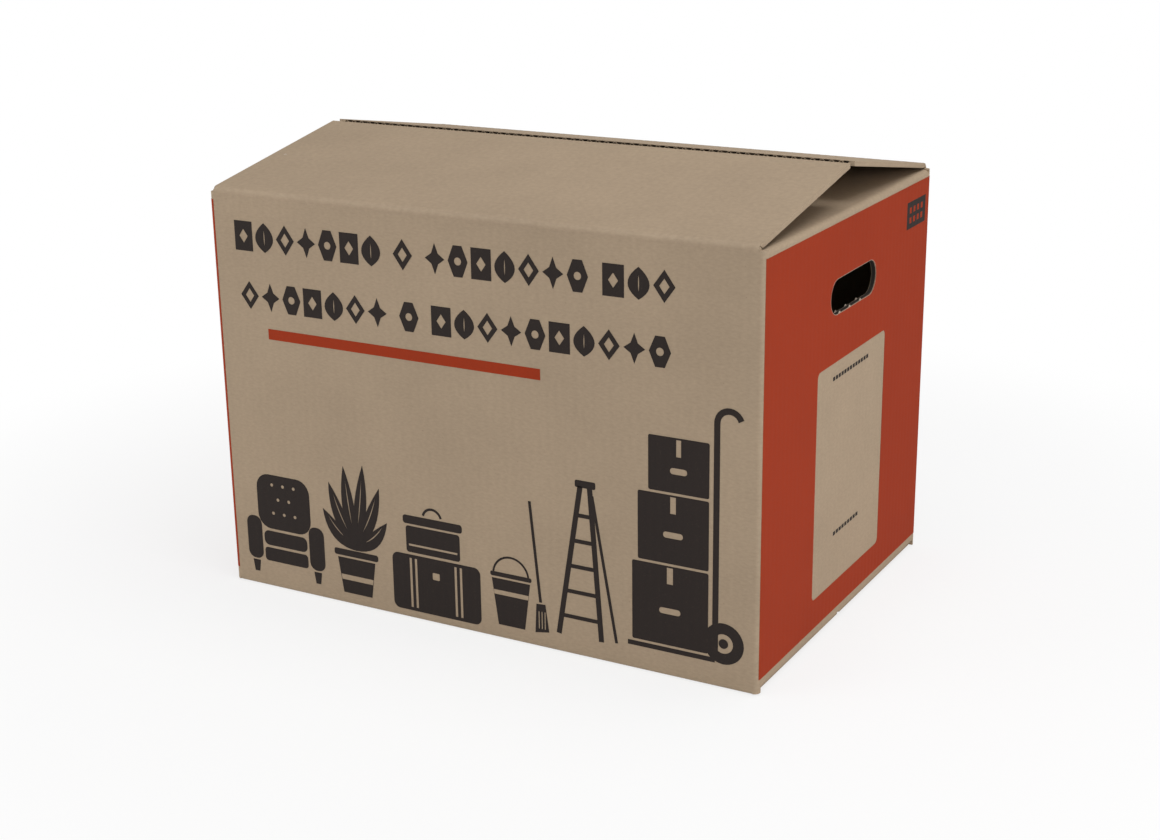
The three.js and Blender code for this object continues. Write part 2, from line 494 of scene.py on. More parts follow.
@dataclass(frozen=True)
class KraftLiner:
    """Unprinted brown liner."""

    name: str
    sizes: BoxSizes
    flutes: FluteRun
    colour: Colour = (0.372, 0.283, 0.196)
    # Paler liner along the folds: partly rubbed, partly a painted highlight.
    wear_and_highlight_colour: Colour = (0.470, 0.375, 0.275)
    fleck: Colour = (0.215, 0.150, 0.098)
    # Painted shade: the dark inside the hand holes' open flutes.
    painted_flute_shade: Colour = (0.034, 0.027, 0.023)
    fleck_share: float = 0.45
    wear_and_highlight_share: float = 0.28
    tooth: Tooth = Tooth(0.18, 0.30, 0.014, 0.5, roughness=0.86, depth=0.10 * MM, gloss=0.15)

    def fill(self, graph: Graph) -> None:
        """Builds the finish.

        Args:
            graph: The material's empty graph.
        """
        surface = BoardSurface(graph, self.sizes, self.flutes)
        liner = graph.mix(surface.flecks() * self.fleck_share, self.colour, self.fleck)
        # Paler along the folds: partly rubbed liner, partly a painted highlight.
        rubbed_and_highlighted = graph.mix(surface.fold_wear_and_highlight() * self.wear_and_highlight_share, liner, self.wear_and_highlight_colour)
        # Painted shade darkens the open flutes in the hand holes' cut edges.
        surface.dress(graph.mix(surface.hand_hole_flute_shade(), rubbed_and_highlighted, self.painted_flute_shade), self.tooth)


@dataclass(frozen=True)
class InkOnLiner:
    """Printing ink soaked into the liner."""

    name: str
    sizes: BoxSizes
    colour: Colour
    thin: Colour
    show_through: float
    grain_scale: float = 900
    grain_edge: tuple[float, float] = (0.60, 0.78)
    valley_share: float = 0.12
    # How far the ink thins along the folds: partly rubbed ink, partly a painted highlight.
    wear_and_highlight_share: float = 0.3
    tooth: Tooth = Tooth(0.14, 0.16, 0.025, 0.4, roughness=0.78, depth=0.09 * MM, gloss=0.12)

    def fill(self, graph: Graph) -> None:
        """Builds the finish.

        Args:
            graph: The material's empty graph.
        """
        surface = BoardSurface(graph, self.sizes, FluteRun.CARTON)
        grain = graph.step(graph.noise(self.grain_scale, detail=2), *self.grain_edge)
        missed = (grain + (1 - surface.washboard()) * self.valley_share) * self.show_through
        # The ink also thins along the folds: partly rubbed ink, partly a painted highlight.
        bare = missed + surface.fold_wear_and_highlight() * self.wear_and_highlight_share
        surface.dress(graph.mix(bare, self.colour, self.thin), self.tooth)


@dataclass(frozen=True)
class LoosePaper:
    """Rough paper in a cut or a tear, speckled from a dark tone to a pale one."""

    name: str
    stops: Stops
    scale: float
    detail: float
    depth: float
    gloss: float
    roughness: float = 0.95

    def fill(self, graph: Graph) -> None:
        """Builds the finish in the material's empty graph."""
        speckle = graph.noise(self.scale, detail=self.detail)
        graph.paper(graph.ramp_colour(speckle, self.stops), self.roughness, speckle, self.depth, self.gloss)


Finish = Union[KraftLiner, InkOnLiner, LoosePaper]


@dataclass
class Finishes:
    """Every finish of the box, each built the first time that it is asked for."""

    sizes: BoxSizes
    made: dict[str, bpy.types.Material] = field(default_factory=dict)

    def _once(self, finish: Finish) -> bpy.types.Material:
        """Builds a finish, or finds the one already built.

        Args:
            finish: The finish.

        Returns:
            Its material.
        """
        if finish.name not in self.made:
            material = bpy.data.materials.new(finish.name)
            finish.fill(Graph(material))
            self.made[finish.name] = material
        return self.made[finish.name]

    def kraft(self, flutes: FluteRun) -> bpy.types.Material:
        """The bare liner for one run of flutes."""
        return self._once(KraftLiner(f"kraft_{flutes.name.lower()}", self.sizes, flutes))

    def red(self) -> bpy.types.Material:
        """The red-orange ink."""
        return self._once(InkOnLiner("red_ink", self.sizes, (0.300, 0.032, 0.008), (0.40, 0.10, 0.05), 0.14))

    def dark(self) -> bpy.types.Material:
        """The brown-black ink."""
        return self._once(InkOnLiner("dark_ink", self.sizes, (0.025, 0.019, 0.017), (0.10, 0.07, 0.05), 0.18))

    def shade(self) -> bpy.types.Material:
        """The dark air in the mouth of a flute."""
        stops = ((0.3, (0.026, 0.019, 0.014)), (0.7, (0.062, 0.045, 0.031)))
        return self._once(LoosePaper("flute_shade", stops, 500, 1, depth=0.02 * MM, gloss=0.05))

    def torn(self) -> bpy.types.Material:
        """The pale fibres of torn liner."""
        stops = ((0.3, (0.36, 0.28, 0.21)), (0.7, (0.60, 0.52, 0.43)))
        return self._once(LoosePaper("torn_paper", stops, 1100, 3, depth=0.12 * MM, gloss=0.10))


# Meshes


def new_piece(name: str, mesh: bmesh.types.BMesh, material: bpy.types.Material) -> bpy.types.Object:
    """Makes an object from a mesh under construction, with its faces turned outwards.

    Args:
        name: The piece's name.
        mesh: The mesh, which is used up.
        material: The piece's finish.

    Returns:
        The piece, linked to the scene.
    """
    bmesh.ops.recalc_face_normals(mesh, faces=mesh.faces)
    data = bpy.data.meshes.new(name)
    mesh.to_mesh(data)
    mesh.free()
    data.materials.append(material)
    piece = bpy.data.objects.new(name, data)
    bpy.context.scene.collection.objects.link(piece)
    return piece


def fix(piece: bpy.types.Object, body: Body) -> None:
    """Makes a piece ride on a body.

    Args:
        piece: The piece.
        body: The body that it moves with.
    """
    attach(piece, body.value)
    log.info("fixed %s to %s", piece.name, body.value)


def join_rings(mesh: bmesh.types.BMesh, rings: Sequence[Sequence[bmesh.types.BMVert]]) -> None:
    """Closes a tube over a row of equal rings.

    Args:
        mesh: The mesh under construction.
        rings: The rings' corners, in order along the tube.
    """
    count = len(rings[0])
    for one, other in zip(rings, rings[1:]):
        for i in range(count):
            j = (i + 1) % count
            mesh.faces.new((one[i], one[j], other[j], other[i]))
    mesh.faces.new(rings[0])
    mesh.faces.new(rings[-1][::-1])


# Drawing on a panel


def arc(centre: Point, radius: float, start: float, end: float, steps: int = 12) -> Outline:
    """Points along an arc, in degrees."""
    angles = [math.radians(start + (end - start) * i / steps) for i in range(steps + 1)]
    return [(centre[0] + radius * math.cos(a), centre[1] + radius * math.sin(a)) for a in angles]


def disc(centre: Point, radius: float, steps: int) -> Outline:
    """A circle."""
    return arc(centre, radius, 0, 360, steps)[:-1]


def bar(left: float, low: float, right: float, high: float) -> Outline:
    """A rectangle."""
    return [(left, low), (right, low), (right, high), (left, high)]


def rounded_bar(left: float, low: float, right: float, high: float, radius: float) -> Outline:
    """A rectangle with round corners.

    Args:
        left: The left side.
        low: The lower side.
        right: The right side.
        high: The upper side.
        radius: The corners' radius.

    Returns:
        The outline, anticlockwise.
    """
    corners = [
        ((right - radius, low + radius), -90),
        ((right - radius, high - radius), 0),
        ((left + radius, high - radius), 90),
        ((left + radius, low + radius), 180),
    ]
    return [p for centre, start in corners for p in arc(centre, radius, start, start + 90, 6)]


def ribbon(points: Sequence[Point], width: float) -> Outline:
    """A stroke along a line of points.

    Args:
        points: The stroke's middle line.
        width: Its width.

    Returns:
        The outline.
    """
    sides: tuple[Outline, Outline] = ([], [])
    for i, (x, y) in enumerate(points):
        before, after = points[max(i - 1, 0)], points[min(i + 1, len(points) - 1)]
        reach = math.dist(before, after) * 2 / width
        nx, ny = (before[1] - after[1]) / reach, (after[0] - before[0]) / reach
        sides[0].append((x + nx, y + ny))
        sides[1].append((x - nx, y - ny))
    return sides[0] + sides[1][::-1]


def curve(start: Point, pull: Point, end: Point, steps: int = 10) -> Outline:
    """A curve that leaves its start and meets its end towards one pulling point.

    Args:
        start: The first point.
        pull: The pulling point.
        end: The last point.
        steps: How many steps it takes.

    Returns:
        The points along it.
    """
    shares = [i / steps for i in range(steps + 1)]
    return [
        tuple((1 - t) ** 2 * a + 2 * t * (1 - t) * b + t**2 * c for a, b, c in zip(start, pull, end))
        for t in shares
    ]


def leaf(root: Point, tip: Point, width: float, bend: float = 0.0) -> Outline:
    """A leaf that swells between its root and its tip.

    Args:
        root: Where it grows from.
        tip: Its point.
        width: The swelling's size.
        bend: How far its middle moves sideways.

    Returns:
        The outline.
    """
    dx, dy = tip[0] - root[0], tip[1] - root[1]
    length = math.hypot(dx, dy)
    nx, ny = -dy / length, dx / length
    middle = (root[0] + dx * 0.45 + nx * bend, root[1] + dy * 0.45 + ny * bend)
    one = (middle[0] + nx * width, middle[1] + ny * width)
    other = (middle[0] - nx * width, middle[1] - ny * width)
    return curve(root, one, tip)[:-1] + curve(tip, other, root)[:-1]


@dataclass(frozen=True)
class Plate:
    """One closed shape of ink, with the holes that leave the board bare."""

    outline: Outline
    holes: Sequence[Outline] = ()


@dataclass(frozen=True)
class Panel:
    """A flat face of the box with a drawing frame in millimetres."""

    origin: Vector
    right: Vector
    up: Vector
    stand_off: float = 0.05 * MM
    film: float = 0.06 * MM
    layer_step: float = 0.008 * MM
    layers: int = 8

    def _point(self, place: Point, rise: float) -> Vector:
        """A point of a drawing, raised off the face."""
        out = self.right.cross(self.up)
        return self.origin + self.right * place[0] * MM + self.up * place[1] * MM + out * rise

    def print(self, name: str, plates: Sequence[Plate], material: bpy.types.Material) -> bpy.types.Object:
        """Lays plates on the face as one mesh.

        Args:
            name: The piece's name.
            plates: The shapes, neighbours a hair apart in height so that none shares a plane.
            material: The ink.

        Returns:
            The piece.
        """
        mesh = bmesh.new()
        for index, plate in enumerate(plates):
            self._add_plate(mesh, plate, self.stand_off + (index % self.layers) * self.layer_step)
        return new_piece(name, mesh, material)

    def _add_plate(self, mesh: bmesh.types.BMesh, plate: Plate, low: float) -> None:
        """Adds one closed film to a mesh.

        Args:
            mesh: The mesh under construction.
            plate: The shape.
            low: The film's height off the face.
        """
        rings = [plate.outline, *plate.holes]
        corners = [p for ring in rings for p in ring]
        under = [mesh.verts.new(self._point(p, low)) for p in corners]
        over = [mesh.verts.new(self._point(p, low + self.film)) for p in corners]
        flat = [[Vector((x, y, 0)) for x, y in ring] for ring in rings]
        for a, b, c in tessellate_polygon(flat):
            one = (corners[b][0] - corners[a][0], corners[b][1] - corners[a][1])
            other = (corners[c][0] - corners[a][0], corners[c][1] - corners[a][1])
            side = one[0] * other[1] - one[1] * other[0]
            if side == 0:
                continue
            ordered = (a, b, c) if side > 0 else (a, c, b)
            mesh.faces.new([over[i] for i in ordered])
            mesh.faces.new([under[i] for i in reversed(ordered)])
        start = 0
        for ring in rings:
            for i in range(len(ring)):
                a, b = start + i, start + (i + 1) % len(ring)
                mesh.faces.new((under[a], under[b], over[b], over[a]))
            start += len(ring)


# The board


@dataclass
class CartonBoard:
    """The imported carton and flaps, dressed in board and ink."""

    finishes: Finishes

    def build(self) -> None:
        """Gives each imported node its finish."""
        looks = {
            "carton": self.finishes.kraft(FluteRun.CARTON),
            "front_top_flap": self.finishes.kraft(FluteRun.FLAP),
            "back_top_flap": self.finishes.kraft(FluteRun.FLAP),
            "right_end_ink": self.finishes.red(),
            "left_end_ink": self.finishes.red(),
            "front_rule_ink": self.finishes.red(),
        }
        for node, material in looks.items():
            materials = frame["nodes"][node].data.materials
            materials.clear()
            materials.append(material)
            log.info("dressed %s", node)


@dataclass
class FoldSkin:
    """The liners that run unbroken over the fold between a long wall and its flap."""

    sizes: BoxSizes
    finishes: Finishes
    name: str
    side: int
    body: Body
    overlap: float = 1.2 * MM
    liner: float = 0.14 * MM
    stand_off: float = 0.03 * MM
    end_gap: float = 0.8 * MM
    column: float = 2 * MM
    pinch: float = 0.12 * MM
    pinch_reach: float = 3 * MM
    blend_reach: float = 3.5 * MM
    arc_steps: int = 8

    def _raised(self, along: float, rise: float) -> Point:
        """A point of the raised flap, from its place on the closed flap."""
        turned = Matrix.Rotation(self.sizes.flap_raise, 2) @ Vector((along, rise))
        return (turned.x, turned.y)

    def _outer_line(self) -> Outline:
        """Finds the outer liner's middle line, from the wall over the fold to the flap.

        Returns:
            Points inwards from the wall's face and upwards from the fold line.
        """
        radius = self.sizes.fold_radius
        gap = self.stand_off + self.liner / 2
        wall = (-gap, -radius - self.overlap)
        bend = arc((radius, -radius), radius + gap, 180, 135, self.arc_steps)
        flap_bend = arc((radius, -radius), radius + gap, 135, 90, self.arc_steps)
        flap = [self._raised(*p) for p in [*flap_bend, (radius + self.overlap, gap)]]
        return [wall, *bend, *flap]

    def _inner_line(self) -> Outline:
        """Finds the inner liner's middle line, round the inside of the fold.

        Returns:
            Points inwards from the wall's face and upwards from the fold line.
        """
        board = self.sizes.board
        gap = self.stand_off + self.liner / 2
        wall = [(board + gap, -board - self.overlap), (board + gap, -board - gap)]
        return wall + [self._raised(a, -board - gap) for a in (board + gap, board + self.overlap)]

    def _place(self, x: float, inwards: float, upwards: float, sink: float) -> Vector:
        """Places one corner, sunk a little where the crease is pressed in.

        Args:
            x: The place along the fold.
            inwards: The distance in from the wall's face.
            upwards: The height above the fold line.
            sink: The crease's depth at this place along the fold.

        Returns:
            The corner in the row frame.
        """
        radius = self.sizes.fold_radius
        off_arc = abs(math.hypot(inwards - radius, upwards + radius) - radius)
        near = max(0.0, 1 - off_arc / self.pinch_reach) if upwards > -radius else 0.0
        dent = sink * near * math.sqrt(0.5)
        y = self.side * (self.sizes.half_depth - inwards - dent)
        return Vector((x, y, self.sizes.height + upwards - dent))

    def _strip(self, mesh: bmesh.types.BMesh, line: Outline, pinch: float) -> None:
        """Adds one liner along the whole fold as a closed strip.

        Args:
            mesh: The mesh under construction.
            line: The liner's middle line.
            pinch: How deep the crease dips between the flutes.
        """
        half = self.sizes.flap_half_width - self.end_gap
        columns = round(2 * half / self.column)
        outline = ribbon(line, self.liner)
        rings = []
        for i in range(columns + 1):
            x = half * (2 * i / columns - 1)
            sink = pinch * (0.5 + 0.5 * math.cos(2 * math.pi * x / self.sizes.flute_pitch))
            rings.append([mesh.verts.new(self._place(x, y, z, sink)) for y, z in outline])
        join_rings(mesh, rings)

    def build(self) -> None:
        """Builds the skin, shaped round the fold from the wall to the raised flap."""
        mesh = bmesh.new()
        self._strip(mesh, self._outer_line(), self.pinch)
        self._strip(mesh, self._inner_line(), 0.0)
        piece = new_piece(self.name, mesh, self.finishes.kraft(FluteRun.FLAP))
        depth, height = self.sizes.half_depth, self.sizes.height
        bend = self.sizes.fold_radius * 0.98
        for polygon in piece.data.polygons:
            on_wall = height - polygon.center.z > bend
            polygon.use_smooth = depth - abs(polygon.center.y) < bend and not on_wall
        start = (0, self.side * depth, height - self.blend_reach)
        end = (0, self.side * (depth - self.blend_reach), height)
        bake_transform(piece)
        log.info("bent %s between %s and %s", self.name, Body.CARTON.value, self.body.value)


@dataclass
class CutEdges:
    """The cut edges of the dust flaps and round the hand holes.

    The paper, the crown and the rim are drawn on a panel and in millimetres, and the rest is in metres.
    """

    sizes: BoxSizes
    finishes: Finishes
    paper: float = 0.45
    crown: float = 0.7
    mouth_stand_off: float = 0.02 * MM
    mouth_film: float = 0.04 * MM
    nicks: tuple[float, ...] = (-29 * MM, -8 * MM, 15 * MM)
    nick_profile: tuple[Point, ...] = (
        (-0.5, -0.2), (0.5, -0.2), (0.42, 0.4), (0.1, 1), (-0.2, 0.7), (-0.4, 0.4),
    )
    nick_width: float = 4.4 * MM
    nick_height: float = 1.7 * MM
    nick_skin: float = 0.30 * MM
    nick_inset: float = 0.1 * MM
    rim: float = 0.25
    rim_roundness: float = 0.98

    def _mouths(self, length: float) -> list[Plate]:
        """Draws both rows of flute mouths along a cut edge.

        Args:
            length: The edge's length in millimetres.

        Returns:
            The mouths, in millimetres along the edge and across the board.
        """
        pitch, board = self.sizes.flute_pitch / MM, self.sizes.board / MM
        count = int(length / pitch)
        height = board - 3 * self.paper
        wide = pitch / 2 - self.paper * math.sqrt(2) - self.crown
        made = []
        for i in range(count):
            for side in (1, -1):
                middle = (i - (count - 1) / 2 - side / 4) * pitch
                base = board / 2 + side * (height + self.paper) / 2
                tip = base - side * height
                corners = [(middle - wide, base), (middle - self.crown, tip)]
                corners += [(middle + self.crown, tip), (middle + wide, base)]
                made.append(Plate(corners))
        return made

    def _lay_mouths(self, name: str, start: Vector, along: Vector, across: Vector, length: float) -> None:
        """Lays flute mouths on a cut face.

        Args:
            name: The piece's name.
            start: The middle of the edge, on the outer liner's face.
            along: The edge's direction.
            across: The direction through the board.
            length: The edge's length in metres.
        """
        face = Panel(start, along, across, self.mouth_stand_off, self.mouth_film, layer_step=0)
        fix(face.print(name, self._mouths(length / MM), self.finishes.shade()), Body.CARTON)

    def _lay_nicks(self, name: str, side: int) -> None:
        """Adds the torn paper ties on a hand hole's lower edge.

        Args:
            name: The piece's name.
            side: 1 for the right end, -1 for the left.
        """
        mesh = bmesh.new()
        low = self.sizes.hole_centre - self.sizes.hole_height / 2
        depths = (self.nick_inset, self.sizes.board - self.nick_inset - self.nick_skin)
        for place in self.nicks:
            for depth in depths:
                rings = []
                for x in (self.sizes.half_length - depth, self.sizes.half_length - depth - self.nick_skin):
                    corners = [
                        (side * x, side * (place + a * self.nick_width), low + b * self.nick_height)
                        for a, b in self.nick_profile
                    ]
                    rings.append([mesh.verts.new(c) for c in corners])
                join_rings(mesh, rings)
        fix(new_piece(name, mesh, self.finishes.torn()), Body.CARTON)

    def _lay_rim(self, name: str, side: int) -> None:
        """Adds the thin pale line of torn liner round a hand hole.

        Args:
            name: The piece's name.
            side: 1 for the right end, -1 for the left.
        """
        origin = Vector((side * self.sizes.half_length, 0, self.sizes.hole_centre))
        panel = Panel(origin, Vector((0, side, 0)), Vector((0, 0, 1)), **OVER_INK)
        rings = []
        for grown in (0, self.rim):
            half = self.sizes.hole_length / MM / 2 + grown
            high = self.sizes.hole_height / MM / 2 + grown
            rings.append(rounded_bar(-half, -high, half, high, high * self.rim_roundness))
        ring = Plate(rings[1], [rings[0][::-1]])
        fix(panel.print(name, [ring], self.finishes.torn()), Body.CARTON)

    def build(self) -> None:
        """Builds the flute mouths, rims and nicks of both ends."""
        sizes = self.sizes
        straight = sizes.hole_length - sizes.hole_height
        for end in End:
            side, name = end.value, end.name.lower()
            top = Vector((side * (sizes.half_length - sizes.flap_length), 0, sizes.dust_flap_top))
            along, through = Vector((0, side, 0)), Vector((-side, 0, 0))
            span = 2 * sizes.dust_flap_half_width
            self._lay_mouths(f"{name}_dust_flap_flutes", top, along, Vector((0, 0, -1)), span)
            for edge, way in (("upper", 1), ("lower", -1)):
                level = sizes.hole_centre + way * sizes.hole_height / 2
                middle = Vector((side * sizes.half_length, 0, level))
                self._lay_mouths(f"{name}_{edge}_hole_flutes", middle, along * way, through, straight)
            self._lay_nicks(f"{name}_hand_hole_nicks", side)
            self._lay_rim(f"{name}_hand_hole_rim", side)


@dataclass
class FlapScuff:
    """A small torn speck on the front flap."""

    sizes: BoxSizes
    finishes: Finishes
    place: Point = (17, 84)
    radius: float = 1.5
    corners: int = 14

    def build(self) -> None:
        """Builds the speck as a ragged spot of bare fibre."""
        origin = Vector((-self.sizes.half_length, -self.sizes.half_depth, self.sizes.height))
        turn = self.sizes.flap_raise
        panel = Panel(origin, Vector((1, 0, 0)), Vector((0, math.cos(turn), math.sin(turn))))
        spot = []
        for i in range(self.corners):
            reach = self.radius * (1 + 0.28 * math.sin(3 * i) + 0.16 * math.cos(5 * i))
            angle = 2 * math.pi * i / self.corners
            spot.append((self.place[0] + reach * math.cos(angle), self.place[1] + reach * math.sin(angle)))
        piece = panel.print("front_flap_scuff", [Plate(spot)], self.finishes.torn())
        fix(piece, Body.FRONT_FLAP)


# Print on the front: two rows of plain figures over the red rule, and household shapes along the foot


@dataclass(frozen=True)
class FriezeRow:
    """One row of figures in groups."""

    left: float
    base: float
    height: float
    width: float
    groups: tuple[int, ...]
    first: int = 0
    gap: float = 3.0
    group_gap: float = 12.0
    gem: Point = (4.2, 5.8)
    vein_inset: float = 6
    vein_width: float = 0.9
    notch: float = 0.17
    slope: float = 0.28
    eye: float = 3.2

    def _cell(self) -> float:
        """The width of one figure, so that the row fills its width."""
        count, groups = sum(self.groups), len(self.groups)
        return (self.width - self.gap * (count - groups) - self.group_gap * (groups - 1)) / count

    def _figure(self, kind: Figure, left: float, cell: float) -> Plate:
        """Draws one figure that fills a cell.

        Args:
            kind: Which figure.
            left: The cell's left side.
            cell: Its width.

        Returns:
            The figure.
        """
        right, low, high = left + cell, self.base, self.base + self.height
        x, y = (left + right) / 2, (low + high) / 2
        tips = [(x, low), (right, y), (x, high), (left, y)]
        gem = [(x, y - self.gem[1]), (x - self.gem[0], y), (x, y + self.gem[1]), (x + self.gem[0], y)]
        if kind is Figure.SQUARE:
            return Plate(bar(left, low, right, high), [gem])
        if kind is Figure.LEAF:
            vein = leaf((x, low + self.vein_inset), (x, high - self.vein_inset), self.vein_width)
            return Plate(leaf((x, low), (x, high), cell), [vein[::-1]])
        if kind is Figure.DIAMOND:
            return Plate(tips, [gem])
        if kind is Figure.STAR:
            ways = ((1, -1), (1, 1), (-1, 1), (-1, -1))
            notches = [(x + a * cell * self.notch, y + b * self.height * self.notch) for a, b in ways]
            return Plate([p for pair in zip(tips, notches) for p in pair])
        slope = cell * self.slope
        foot = [(left, y), (left + slope, low), (right - slope, low)]
        head = [(right, y), (right - slope, high), (left + slope, high)]
        return Plate(foot + head, [disc((x, y), self.eye, 16)[::-1]])

    def plates(self) -> list[Plate]:
        """Draws every figure of the row.

        Returns:
            The figures.
        """
        cell = self._cell()
        kinds = list(Figure)
        made, left, count = [], self.left, self.first
        for group in self.groups:
            for _ in range(group):
                made.append(self._figure(kinds[count % len(kinds)], left, cell))
                left += cell + self.gap
                count += 1
            left += self.group_gap - self.gap
        return made


@dataclass(frozen=True)
class Drawing:
    """A household shape in its own frame: left edge, ground, width and height in millimetres."""

    left: float
    base: float
    width: float
    height: float

    def x(self, share: float) -> float:
        """A place across, as a share of the width."""
        return self.left + self.width * share

    def y(self, share: float) -> float:
        """A place up, as a share of the height."""
        return self.base + self.height * share

    def outline(self, *shares: Point) -> Outline:
        """An outline given in shares."""
        return [(self.x(a), self.y(b)) for a, b in shares]

    def block(self, left: float, low: float, right: float, high: float, radius: float) -> Outline:
        """A rounded rectangle given in shares."""
        return rounded_bar(self.x(left), self.y(low), self.x(right), self.y(high), radius)

    def slits(self, shares: Sequence[float], width: float, low: float, high: float) -> list[Outline]:
        """Upright bare slits that start at shares of the width."""
        return [bar(self.x(a), low, self.x(a) + width, high)[::-1] for a in shares]


@dataclass(frozen=True)
class Armchair(Drawing):
    """A wing chair seen from the front."""

    def plates(self) -> list[Plate]:
        """Draws the back, seat, arms and feet, parted by bare seams.

        Returns:
            The parts.
        """
        rows = ((0.62, (0.36, 0.5, 0.64)), (0.76, (0.43, 0.57)), (0.90, (0.36, 0.5, 0.64)))
        buttons = [disc((self.x(a), self.y(b)), 1.5, 12)[::-1] for b, row in rows for a in row]
        back = Plate(self.block(0.16, 0.46, 0.84, 1, 13), buttons)
        blocks = [(0.22, 0.29, 0.78, 0.435, 5), (0.22, 0.13, 0.78, 0.265, 3)]
        blocks += [(0, 0.13, 0.195, 0.56, 7), (0.805, 0.13, 1, 0.56, 7)]
        top = self.y(0.115)
        feet = [
            [(x - 2.5, self.base), (x + 2.5, self.base), (x + 4, top), (x - 4, top)]
            for x in (self.x(0.10), self.x(0.90))
        ]
        return [back, *(Plate(self.block(*b)) for b in blocks), *(Plate(f) for f in feet)]


@dataclass(frozen=True)
class PottedPlant(Drawing):
    """A leafy plant in a banded pot."""

    tips: tuple[tuple[float, float, float], ...] = (
        (0.01, 0.62, 7), (1.0, 0.60, -7), (0.12, 0.83, 5), (0.90, 0.85, -5), (0.36, 0.97, 2), (0.66, 1.0, -2),
    )

    def plates(self) -> list[Plate]:
        """Draws the pot, its bare band, and the leaves with bare midribs.

        Returns:
            The parts.
        """
        pot = self.outline((0.28, 0), (0.72, 0), (0.79, 0.27), (0.21, 0.27))
        band = self.outline((0.26, 0.10), (0.25, 0.14), (0.75, 0.14), (0.74, 0.10))
        root = Vector((self.x(0.5), self.y(0.34)))
        made = [Plate(pot, [band]), Plate(self.block(0.16, 0.285, 0.84, 0.335, 2))]
        for a, b, bend in self.tips:
            tip = Vector((self.x(a), self.y(b)))
            rib = leaf(tuple(root.lerp(tip, 0.30)), tuple(root.lerp(tip, 0.84)), 0.9, bend * 0.42)
            made.append(Plate(leaf(tuple(root), tuple(tip), 12.5, bend), [rib[::-1]]))
        return made


@dataclass(frozen=True)
class Luggage(Drawing):
    """A strapped suitcase under a round hat box."""

    def plates(self) -> list[Plate]:
        """Draws the case, the hat box, its lid and its handle.

        Returns:
            The parts.
        """
        straps = self.slits((0.2, 0.26, 0.71, 0.77), 2.2, self.y(0.035), self.y(0.535))
        lock = self.block(0.46, 0.36, 0.54, 0.43, 1)[::-1]
        case = Plate(self.block(0, 0, 1, 0.57, 6), [*straps, lock])
        band = bar(self.x(0.20), self.y(0.66), self.x(0.75), self.y(0.68))[::-1]
        hat_box = Plate(self.block(0.17, 0.595, 0.78, 0.86, 2.5), [band])
        lid = Plate(self.block(0.14, 0.88, 0.81, 0.965, 2.5))
        handle = Plate(ribbon(arc((self.x(0.475), self.y(0.96)), 9, 165, 15), 2.2))
        return [case, hat_box, lid, handle]


@dataclass(frozen=True)
class BucketAndBroom(Drawing):
    """A bucket with a broom leaning behind it."""

    def plates(self) -> list[Plate]:
        """Draws the bucket, its handle, and the broom's stick and bristles.

        Returns:
            The parts.
        """
        wall = self.outline((0.12, 0), (0.66, 0), (0.78, 0.36), (0, 0.36))
        band = self.outline((0.045, 0.235), (0.035, 0.27), (0.745, 0.27), (0.735, 0.235))
        rim = Plate(self.block(-0.03, 0.375, 0.81, 0.41, 1.6))
        handle = Plate(ribbon(arc((self.x(0.39), self.y(0.39)), self.width * 0.36, 172, 8, 16), 1.8))
        bristles = self.outline((0.87, 0), (1.15, 0.02), (1.08, 0.23), (0.90, 0.225))
        slits = self.slits((0.94, 1.0, 1.06), 0.9, self.base + 4, self.y(0.17))
        stick = Plate(ribbon(self.outline((0.985, 0.24), (0.80, 1)), 2.6))
        return [Plate(wall, [band]), rim, handle, Plate(bristles, slits), stick]


@dataclass(frozen=True)
class StepLadder(Drawing):
    """An open step ladder."""

    treads: tuple[float, ...] = (0.13, 0.30, 0.47, 0.64, 0.81)

    def plates(self) -> list[Plate]:
        """Draws the rails, the prop, the treads and the cap.

        Returns:
            The parts.
        """
        rails = (self.outline((0, 0), (0.40, 1)), self.outline((0.74, 0), (0.56, 1)))
        made = [Plate(ribbon(rail, 4.6)) for rail in rails]
        made.append(Plate(ribbon(self.outline((1, 0.015), (0.60, 0.95)), 2.6)))
        left, right = ([Vector(p) for p in rail] for rail in rails)
        for share in self.treads:
            one, other = left[0].lerp(left[1], share), right[0].lerp(right[1], share)
            made.append(Plate(bar(one.x - 1, one.y - 1.7, other.x + 1, one.y + 1.7)))
        top = self.y(1)
        return [*made, Plate(rounded_bar(self.x(0.31), top - 1, self.x(0.66), top + 5, 1.5))]


